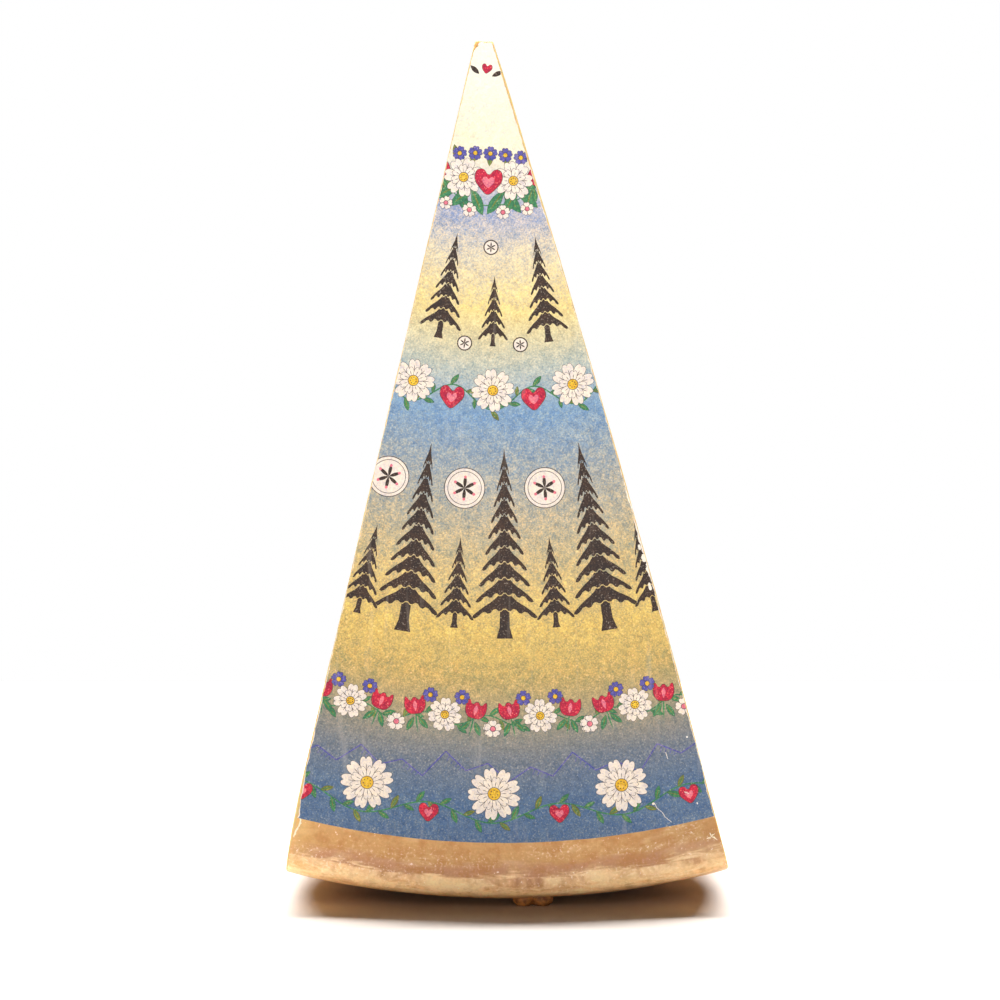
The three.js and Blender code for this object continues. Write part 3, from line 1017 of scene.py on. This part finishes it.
def printedPaper(name, ink=None):
    material, tree, shader = newMaterial(name, paper["sheet"])
    place = addNode(tree, "TexCoord").outputs["Object"]
    textures = {}
    for texture, detail, rough, distortion in (("grain", 2.0, 0.6, 0.0), ("fibre", 4.0, 0.7, 1.4),
                                               ("blotch", 3.0, 0.6, 0.0), ("cloud", 2.0, 0.5, 0.0)):
        textures[texture] = addNode(tree, "TexNoise", {
            "Vector": place, "Scale": grainOf(paper[texture]), "Detail": detail, "Roughness": rough,
            "Distortion": distortion}).outputs["Fac"]
    if ink is None:
        # the inks of neighbouring bands run into each other in specks, so the place is shaken before the ramp
        radius = addNode(tree, "VectorMath", {0: fromAxis(tree, place)}, operation="LENGTH").outputs["Value"]
        for texture, reach in (("grain", paper["drift"] * mm), ("blotch", paper["sway"] * mm)):
            shaken = addNode(tree, "MapRange", {0: textures[texture], 1: 0.3, 2: 0.7, 3: -reach, 4: reach},
                             clamp=False).outputs[0]
            radius = addNode(tree, "Math", {0: radius, 1: shaken}, operation="ADD").outputs[0]
        share = addNode(tree, "Math", {0: radius, 1: wheel["radius"] * mm}, operation="DIVIDE").outputs[0]
        ramp = addNode(tree, "ValToRGB", {"Fac": share})
        rampStops(ramp, [(r / wheel["radius"], linearColour(c)) for r, c in paper["ground"].values()])
        colour = ramp.outputs["Color"]
    else:
        colour = linearColour(ink)
    # uneven inking: wide drifts, soft blotches, matted fibres and fine specks of hue
    for texture, spread, value, hue in (("cloud", 0.7, 0.08, 0.2), ("blotch", 0.5, 0.34, 0.45),
                                        ("fibre", 0.5, 0.6, 0.1), ("grain", 0.5, 0.5, 0.85)):
        level = addNode(tree, "MapRange", {
            "Value": textures[texture], 1: 0.5 - spread / 2, 2: 0.5 + spread / 2}).outputs[0]
        low, high = ([0.5 + hue * (c - 0.5) + value * step for c in paper[tone]]
                     for tone, step in (("cool", -0.3), ("warm", 0.3)))
        uneven = addNode(tree, "Mix", {0: level, 6: low + [1.0], 7: high + [1.0]},
                         data_type="RGBA").outputs[2]
        colour = addNode(tree, "Mix", {0: 1.0, 6: colour, 7: uneven},
                         data_type="RGBA", blend_type="OVERLAY").outputs[2]
    # faint upright streaks where the wet paper was brushed down
    drawn = addNode(tree, "VectorMath", {0: place, 1: (1.0, 1.0, 0.09)}, operation="MULTIPLY").outputs[0]
    streak = addNode(tree, "TexNoise", {"Vector": drawn, "Scale": grainOf(paper["streak"]), "Detail": 2.0})
    light = addNode(tree, "MapRange", {0: streak.outputs[0], 1: 0.62, 2: 0.76, 3: 0.0, 4: 0.12}).outputs[0]
    thin = addNode(tree, "MapRange", {0: textures["grain"], 1: 0.6, 2: 0.75, 3: 0.0, 4: 0.3}).outputs[0]
    bare = addNode(tree, "Math", {0: light, 1: thin}, operation="MAXIMUM").outputs[0]
    worn = addNode(tree, "Mix", {0: bare, 6: colour, 7: linearColour(paper["bare"])}, data_type="RGBA")
    tree.links.new(worn.outputs[2], shader.inputs["Base Color"])
    bump = addNode(tree, "Bump", {"Height": textures["grain"], "Strength": 0.2, "Distance": 0.1 * mm})
    tree.links.new(bump.outputs["Normal"], shader.inputs["Normal"])
    return material


# dry rind, salted and brushed for months: waxy tan, rubbed pale along the ridge, with scuffs and dust
rind = {
    "sheet": {"Roughness": 0.46, "Specular IOR Level": 0.45, "IOR": 1.46, "Subsurface Weight": 0.6,
              "Subsurface Radius": (1.0, 0.55, 0.28), "Subsurface Scale": 4 * mm},
    "margin": "#cf9f61", "ochre": "#bf833f", "shade": "#c69067", "paintedLightBelow": "#ffce90", "bellyTanAndShade": "#c08c54",
    "rubbed": "#ffe3b2", "fleck": "#fdf3e0", "paintedGlow": "#f6d48c",
    "mottle": 7.0, "speck": 1.3, "paintedGlowReach": 18.0,  # mm; the last is how far the painted glow, light through the paste, reaches from the cuts
    "streak": (15.0, 2.2), "patch": (34.0, 11.0),  # mm along the brushing and across it
    "zones": [  # colour by mm past the edge of the face; below the ridge it is painted light, and the belly is tan with painted shade
        (-9, "margin"), (-5, "shade"), (-2, "shade"), (1.6, "paintedLightBelow"), (24, "paintedLightBelow"), (36, "bellyTanAndShade"),
    ],
    "scuffs": [  # middle in mm along the curve and past the edge of the face, half length and width, strength
        (62.8, -10.2, 8, 1.6, 0.9), (79.5, -9.7, 9, 1.2, 0.9), (95, -10.8, 9, 1.6, 0.9),
        (97, -16.3, 8, 3.0, 0.8), (108, -8.6, 5, 2.0, 0.7), (-3.9, -7.4, 5, 1.6, 0.7),
        (30, -13, 17, 4.0, 0.5), (-98, -4.6, 12, 1.6, 0.9), (-40, -8, 38, 4.5, 0.5),
        (45, 0, 50, 3.5, 0.4), (-75, -1, 30, 3.0, 0.7),
    ],
}


def scuffAt(along, past):
    spots = [strength * np.exp(-((along - x) / length) ** 2 - ((past - y) / width) ** 2)
             for x, y, length, width, strength in rind["scuffs"]]
    return np.max(spots, axis=0)


def brushedRind():
    material, tree, shader = newMaterial("brushedRind", rind["sheet"])
    place = addNode(tree, "TexCoord").outputs["Object"]
    ridge, nearCut, scuff = (addNode(tree, "Attribute", attribute_name=name).outputs["Fac"]
                             for name in ("ridge", "nearCut", "scuff"))
    mottle = addNode(tree, "TexNoise", {"Vector": place, "Scale": grainOf(rind["mottle"]), "Detail": 5.0,
                                        "Roughness": 0.6}).outputs["Fac"]
    speck = addNode(tree, "TexNoise", {"Vector": place, "Scale": grainOf(rind["speck"]), "Detail": 3.0,
                                       "Roughness": 0.55, "Distortion": 0.4}).outputs["Fac"]
    # brushing runs round the wheel, so these patterns are drawn out that way
    parts = addNode(tree, "SeparateXYZ", {0: fromAxis(tree, place)}).outputs
    angle = addNode(tree, "Math", {0: parts["X"], 1: parts["Z"]}, operation="ARCTAN2").outputs[0]
    along = addNode(tree, "Math", {0: angle, 1: wheel["radius"]}, operation="MULTIPLY").outputs[0]
    brushed = addNode(tree, "CombineXYZ", {0: along, 1: ridge}).outputs[0]
    drawn = {}
    for texture, detail, rough, distortion in (("streak", 6.0, 0.64, 0.7), ("patch", 4.0, 0.6, 0.4)):
        length, width = rind[texture]
        spot = addNode(tree, "VectorMath", {0: brushed, 1: (1 / length, 1 / width, 1)}, operation="MULTIPLY")
        drawn[texture] = addNode(tree, "TexNoise", {
            "Vector": spot.outputs[0], "Scale": 1.0, "Detail": detail, "Roughness": rough,
            "Distortion": distortion}).outputs["Fac"]
    streak, patch = drawn["streak"], drawn["patch"]
    # colour across the profile: tan margin, a pinkish band before the ridge, painted light below it where the
    # lamps leave the rim's underside dark, and on the belly a darker tan, partly painted shade that deepens
    # the shadow under the wedge
    past = ridge
    for texture, reach in ((patch, 3.0), (streak, 1.6)):
        wander = addNode(tree, "MapRange", {"Value": texture, 1: 0.3, 2: 0.7, 3: -reach, 4: reach},
                         clamp=False)
        past = addNode(tree, "Math", {0: past, 1: wander.outputs[0]}, operation="ADD").outputs[0]
    low, high = -20.0, 60.0
    zone = addNode(tree, "MapRange", {"Value": past, 1: low, 2: high}).outputs[0]
    ramp = addNode(tree, "ValToRGB", {"Fac": zone})
    rampStops(ramp, [((at - low) / (high - low), linearColour(rind[tint])) for at, tint in rind["zones"]])
    colour = ramp.outputs["Color"]
    # cloudy ochre, then rubbed patches
    cloudy = addNode(tree, "MapRange", {"Value": mottle, 1: 0.42, 2: 0.62, 3: 0.0, 4: 0.65},
                     interpolation_type="SMOOTHSTEP").outputs[0]
    milky = addNode(tree, "MapRange", {"Value": patch, 1: 0.5, 2: 0.7, 3: 0.0, 4: 0.25},
                    interpolation_type="SMOOTHSTEP").outputs[0]
    hazy = addNode(tree, "MapRange", {"Value": streak, 1: 0.46, 2: 0.7, 3: 0.0, 4: 0.6}).outputs[0]
    hazy = addNode(tree, "Math", {0: scuff, 1: hazy}, operation="MULTIPLY").outputs[0]
    milky = addNode(tree, "Math", {0: milky, 1: hazy}, operation="MAXIMUM").outputs[0]
    onto = addNode(tree, "MapRange", {"Value": past, 1: -3.0, 2: 0.5},
                   interpolation_type="SMOOTHSTEP").outputs[0]
    off = addNode(tree, "MapRange", {"Value": past, 1: 3.5, 2: 8.0, 3: 1.0, 4: 0.0},
                  interpolation_type="SMOOTHSTEP").outputs[0]
    streaky = addNode(tree, "MapRange", {"Value": streak, 1: 0.4, 2: 0.62, 3: 0.1, 4: 0.8}).outputs[0]
    onRidge = addNode(tree, "Math", {0: onto, 1: off}, operation="MULTIPLY").outputs[0]
    rubbed = addNode(tree, "Math", {0: onRidge, 1: streaky}, operation="MULTIPLY").outputs[0]
    # painted glow: the rind near the cuts is painted yellower, as light shining through from the paste, more
    # so near the left one
    depth = addNode(tree, "MapRange", {"Value": nearCut, 1: 0.0, 2: rind["paintedGlowReach"], 3: 1.0, 4: 0.0},
                    interpolation_type="SMOOTHSTEP").outputs[0]
    side = addNode(tree, "MapRange", {"Value": along, 1: -100.0, 2: 100.0, 3: 0.4, 4: 0.08}).outputs[0]
    paintedGlow = addNode(tree, "Math", {0: depth, 1: side}, operation="MULTIPLY").outputs[0]
    # flecks of dust lie in the scuffed places, and along the cuts, where the outermost rind crumbled, flecks
    # of painted highlight
    dustAndGlintSpecks = addNode(tree, "MapRange", {"Value": speck, 1: 0.565, 2: 0.64, 3: 0.0, 4: 0.8}).outputs[0]
    stray = addNode(tree, "MapRange", {"Value": speck, 1: 0.68, 2: 0.72, 3: 0.0, 4: 0.8}).outputs[0]
    glintAlongCuts = addNode(tree, "MapRange", {"Value": nearCut, 1: 0.4, 2: 2.4, 3: 1.0, 4: 0.0}).outputs[0]
    either = addNode(tree, "Math", {0: scuff, 1: glintAlongCuts}, operation="MAXIMUM").outputs[0]
    flecks = addNode(tree, "Math", {0: either, 1: dustAndGlintSpecks}, operation="MULTIPLY").outputs[0]
    flecks = addNode(tree, "Math", {0: flecks, 1: stray}, operation="MAXIMUM").outputs[0]
    for share, tint in ((cloudy, "ochre"), (milky, "rubbed"), (paintedGlow, "paintedGlow"), (rubbed, "rubbed"),
                        (flecks, "fleck")):
        colour = addNode(tree, "Mix", {0: share, 6: colour, 7: linearColour(rind[tint])},
                         data_type="RGBA").outputs[2]
    # and the rind is painted darker towards the right cut, as shade against the stronger light of the long
    # lamp there
    tone = addNode(tree, "MapRange", {"Value": speck, 1: 0.3, 2: 0.7, 3: 0.92, 4: 1.07}).outputs[0]
    paintedShadeRight = addNode(tree, "MapRange", {"Value": along, 1: 40.0, 2: 105.0, 3: 1.0, 4: 0.8}).outputs[0]
    tone = addNode(tree, "Math", {0: tone, 1: paintedShadeRight}, operation="MULTIPLY").outputs[0]
    toned = addNode(tree, "VectorMath", {0: colour, "Scale": tone}, operation="SCALE").outputs[0]
    tree.links.new(toned, shader.inputs["Base Color"])
    height = addNode(tree, "Math", {0: streak, 1: speck}, operation="ADD").outputs[0]
    bump = addNode(tree, "Bump", {"Height": height, "Strength": 0.35, "Distance": 0.3 * mm})
    tree.links.new(bump.outputs["Normal"], shader.inputs["Normal"])
    return material


# ripe paste, parted by a wire: pale and slightly translucent, silky, with glossy eyes
paste = {
    "sheet": {"Roughness": 0.38, "Specular IOR Level": 0.5, "IOR": 1.46, "Subsurface Weight": 0.75,
              "Subsurface Radius": (1.0, 0.6, 0.25), "Subsurface Scale": 8 * mm},
    "cut": "#ceb57f", "deep": "#c3a15f", "nearRind": "#bc9357", "eye": "#c9a96c",
    "cloud": 22.0, "fine": 1.4, "wire": 1.0,  # mm
}


def cutPaste():
    material, tree, shader = newMaterial("cutPaste", paste["sheet"])
    place = addNode(tree, "TexCoord").outputs["Object"]
    gap, eye, broken = (addNode(tree, "Attribute", attribute_name=name).outputs["Fac"]
                        for name in ("rindGap", "eye", "broken"))
    drawn = addNode(tree, "VectorMath", {0: place, 1: (0.6, 0.07, 0.6)}, operation="MULTIPLY").outputs[0]
    cloud, fine, wire = (
        addNode(tree, "TexNoise", {"Vector": spot, "Scale": grainOf(paste[texture]), "Detail": detail,
                                   "Roughness": rough}).outputs["Fac"]
        for texture, spot, detail, rough in (("cloud", place, 4.0, 0.55), ("fine", place, 4.0, 0.65),
                                             ("wire", drawn, 3.0, 0.6)))
    blend = addNode(tree, "MapRange", {"Value": cloud, 1: 0.3, 2: 0.7, 3: 0.0, 4: 0.5}).outputs[0]
    base = addNode(tree, "Mix", {0: blend, 6: linearColour(paste["cut"]), 7: linearColour(paste["deep"])},
                   data_type="RGBA").outputs[2]
    rindy = addNode(tree, "MapRange", {"Value": gap, 1: 0.5, 2: 7.0, 3: 0.85, 4: 0.0},
                    interpolation_type="SMOOTHSTEP").outputs[0]
    intact = addNode(tree, "MapRange", {"Value": broken, 1: 0.0, 2: 0.5, 3: 1.0, 4: 0.0}).outputs[0]
    rindy = addNode(tree, "Math", {0: rindy, 1: intact}, operation="MULTIPLY").outputs[0]
    # painted shade: the eyes' walls are darker the deeper they go
    paintedEyeShade = addNode(tree, "MapRange", {"Value": eye, 1: 0.05, 2: 0.7, 3: 0.0, 4: 0.7}).outputs[0]
    colour = base
    for share, tint in ((rindy, "nearRind"), (paintedEyeShade, "eye")):
        colour = addNode(tree, "Mix", {0: share, 6: colour, 7: linearColour(paste[tint])},
                         data_type="RGBA").outputs[2]
    tree.links.new(colour, shader.inputs["Base Color"])
    rough = addNode(tree, "MapRange", {"Value": eye, 1: 0.0, 2: 0.6, 3: 0.42, 4: 0.2}).outputs[0]
    tree.links.new(rough, shader.inputs["Roughness"])
    height = addNode(tree, "Math", {0: wire, 1: fine}, operation="ADD").outputs[0]
    bump = addNode(tree, "Bump", {"Height": height, "Strength": 0.3, "Distance": 0.25 * mm})
    tree.links.new(bump.outputs["Normal"], shader.inputs["Normal"])
    return material


# studio
camera = {"x": -4.2, "distance": 1500.0, "height": 262.0, "tilt": -2.208, "focal": 3100.6, "frame": 1000.0}
studio = {
    "white": 1.0, "sky": 0.01, "floor": "#e1d9d2",
    "floorCorners": ((-1.6, -1.6), (1.6, 1.1)),
    "lamps": {  # a long softbox high above and a little behind, one above the camera and a low strip under it
        "overhead": {"energy": 720.0, "size": (7.2, 0.3), "spread": 180.0,
                     "place": (-0.3, 0.64, 4.0), "aim": (-0.3, 0.0, 0.0)},
        "key": {"energy": 0.55, "size": (0.4, 0.4), "spread": 45.0,
                "place": (0.0, -1.2, 0.6), "aim": (0.0, -0.08, 0.52)},
        "strip": {"energy": 2.6, "size": (1.3, 0.04), "spread": 180.0,
                  "place": (0.0, -1.1, 0.025), "aim": (0.0, 0.0, 0.03)},
    },
}


def makeCamera():
    data = bpy.data.cameras.new("camera")
    piece = link("camera", data)
    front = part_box("label")[0].y / mm
    piece.location = Vector((camera["x"], front - camera["distance"], camera["height"])) * mm
    piece.rotation_euler = (math.radians(90 + camera["tilt"]), 0, 0)
    data.sensor_width = 36
    data.lens = data.sensor_width * camera["focal"] / camera["frame"]
    data.clip_end = 60
    bpy.context.scene.camera = piece
    print("camera:", camera["distance"], "mm before the label")


def makeStudio():
    world = bpy.data.worlds.new("studio")
    bpy.context.scene.world = world
    world.use_nodes = True
    sky = world.node_tree.nodes["Background"]
    # seen directly the surroundings are white, but they give less light than that
    seen = addNode(world.node_tree, "LightPath").outputs["Is Camera Ray"]
    strength = addNode(world.node_tree, "MapRange", {"Value": seen, 3: studio["sky"], 4: studio["white"]})
    world.node_tree.links.new(strength.outputs[0], sky.inputs["Strength"])
    sky.inputs["Color"].default_value = (1, 1, 1, 1)
    (x1, y1), (x2, y2) = studio["floorCorners"]
    data = bpy.data.meshes.new("floor")
    data.from_pydata([(x1, y1, 0), (x2, y1, 0), (x2, y2, 0), (x1, y2, 0)], [], [(0, 1, 2, 3)])
    paint = {"Roughness": 0.8, "Base Color": linearColour(studio["floor"])}
    data.materials.append(newMaterial("paintedFloor", paint)[0])
    link("floor", data)
    for name, settings in studio["lamps"].items():
        light = bpy.data.lights.new(name, "AREA")
        light.energy = settings["energy"]
        light.shape = "RECTANGLE"
        light.size, light.size_y = settings["size"]
        light.spread = math.radians(settings["spread"])
        lamp = link(name, light)
        lamp.location = settings["place"]
        aim = Vector(settings["aim"]) - lamp.location
        lamp.rotation_euler = aim.to_track_quat("-Z", "Y").to_euler()
    bpy.context.scene.view_settings.view_transform = "Standard"
    print("studio:", len(studio["lamps"]), "lights")


# the scrap of rind under the rim
scrap = {
    "x": 15.5, "y": -45.0, "height": 3.6,  # its middle, and that above the floor
    "sheet": {"Roughness": 0.5, "Specular IOR Level": 0.4, "IOR": 1.46, "Subsurface Weight": 0.4,
              "Subsurface Radius": (1.0, 0.45, 0.2), "Subsurface Scale": 2 * mm},
    "light": "#c08040", "dark": "#7e4a1c", "mottle": 3.0,  # mm
    "lobes": [
        {"place": (-5, 0, -0.2), "radii": (5.4, 4.4, 4.3)},
        {"place": (4, 1, 0), "radii": (5.9, 4.9, 4.5)},
    ],
}


# rind squeezed out under the rim, painted dark brown as the deep shade it lies in; mottled and waxy
def shadedScrapRind():
    material, tree, shader = newMaterial("shadedScrapRind", scrap["sheet"])
    place = addNode(tree, "TexCoord").outputs["Object"]
    mottle = addNode(tree, "TexNoise", {"Vector": place, "Scale": grainOf(scrap["mottle"]), "Detail": 3.0})
    ramp = addNode(tree, "ValToRGB", {"Fac": mottle.outputs["Fac"]})
    rampStops(ramp, [(0.38, linearColour(scrap["dark"])), (0.62, linearColour(scrap["light"]))])
    tree.links.new(ramp.outputs["Color"], shader.inputs["Base Color"])
    return material


def makeScrap(material):
    # a crumb of rind with two lobes, squeezed out under the rim
    work = bmesh.new()
    bmesh.ops.create_icosphere(work, subdivisions=5, radius=1.0)
    directions = np.array([v.co for v in work.verts])
    reach = np.zeros(len(directions))
    for lobe in scrap["lobes"]:
        # where a ray from the crumb's middle leaves the lobe's ellipsoid
        centre, radii = np.array(lobe["place"]), np.array(lobe["radii"])
        a = ((directions / radii) ** 2).sum(1)
        b = (directions * centre / radii ** 2).sum(1)
        c = ((centre / radii) ** 2).sum() - 1
        inside = b ** 2 - a * c
        reach = np.maximum(reach, np.where(inside > 0, (b + np.sqrt(np.maximum(inside, 0))) / a, 0))
    shape = directions * reach[:, None]
    shape += directions * (0.35 * wobble(shape, 4.0, 41) + 0.15 * wobble(shape, 1.2, 42))[:, None]
    floor = -axisPlace.z
    shape += [scrap["x"], scrap["y"], floor + scrap["height"]]
    shape[:, 2] = np.maximum(shape[:, 2], floor + 0.02)
    faces = [tuple(v.index for v in f.verts) for f in work.faces]
    work.free()
    data = makeMesh("rindScrap", shape, faces, [0] * len(faces), [material])
    piece = link("rindScrap", data)
    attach(piece, "root")
    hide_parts("cheese")
    print("scrap:", len(faces), "triangles")


# flakes of rind standing up along cracks: chalky and a little see-through, painted near white as the
# highlight along the crumbled edge
flakes = {
    "sheet": {"Base Color": linearColour("#fdf0d2"), "Roughness": 0.6, "IOR": 1.46, "Subsurface Weight": 0.3,
              "Subsurface Radius": (1.0, 0.7, 0.4), "Subsurface Scale": 1 * mm},
    "lift": 0.14, "sink": 0.3, "step": 0.5,
    "lines": [  # distances from the axis with degrees, and the flake's width
        ([(411.8, -13.97), (414.0, -13.79), (417.0, -13.79), (419.8, -13.94), (422.9, -14.01)], 1.3),
        ([(423.3, 13.65), (422.5, 14.02), (425.1, 14.34)], 0.8),
        ([(422.5, 14.02), (421.4, 14.26)], 0.7),
        ([(420.8, 13.94), (422.5, 14.02)], 0.6),
    ],
}


def makeFlakes(material):
    points, faces = [], []
    lift, sink = flakes["lift"], -flakes["sink"]
    for stops, width in flakes["lines"]:
        corners = np.array([onWheel(*stop) for stop in stops])
        run = np.concatenate([[0], np.cumsum(np.hypot(*np.diff(corners, axis=0).T))])
        at = np.append(np.arange(0, run[-1], flakes["step"]), run[-1])
        middle = np.stack([np.interp(at, run, corners[:, k]) for k in (0, 1)], 1)
        ragged = wobble(np.stack([at, at * 0 + width, at * 0], 1), 0.9, 51)
        along = np.gradient(middle, axis=0)
        along /= np.hypot(*along.T)[:, None]
        aside = np.stack([-along[:, 1], along[:, 0]], 1)
        middle = middle + aside * (0.4 * ragged)[:, None]
        taper = np.sqrt(np.sin(np.pi * (at + 0.3) / (run[-1] + 0.6)))
        half = (width / 2 * (1 + 0.7 * ragged) * taper)[:, None]
        first, count = len(points), len(at)
        for out, rise in ((-1, sink), (-0.7, lift), (0.7, lift), (1, sink)):
            spots = onFace(middle + aside * half * out)
            spots[:, 1] -= rise + rindRelief(spots)
            points.extend(spots.tolist())
        for k in range(4):
            a, b = first + k * count, first + (k + 1) % 4 * count
            faces.extend((a + i, a + i + 1, b + i + 1, b + i) for i in range(count - 1))
        faces.extend([tuple(first + k * count for k in range(4)),
                      tuple(first + (k + 1) * count - 1 for k in (3, 2, 1, 0))])
    piece = link("rindFlakes", makeMesh("rindFlakes", points, faces, [0] * len(faces), [material]))
    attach(piece, "root")
    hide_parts("cheese")
    print("flakes:", len(faces), "faces")


makeCamera()
makeStudio()
cheeseMaterials = [brushedRind(), cutPaste()]
scrapMaterial = shadedScrapRind()
flakeMaterial, _, _ = newMaterial("glintPaintedFlake", flakes["sheet"])
labelMaterials = [printedPaper("barePaper", paper["bare"]), printedPaper("printedField")]
labelMaterials += [printedPaper(name + "Ink", ink) for name, ink in inks.items()]
print("materials:", len(cheeseMaterials), "for the cheese,", len(labelMaterials), "for the label")
makeCheese(cheeseMaterials)
makeScrap(scrapMaterial)
makeFlakes(flakeMaterial)
makeLabel(labelMaterials)
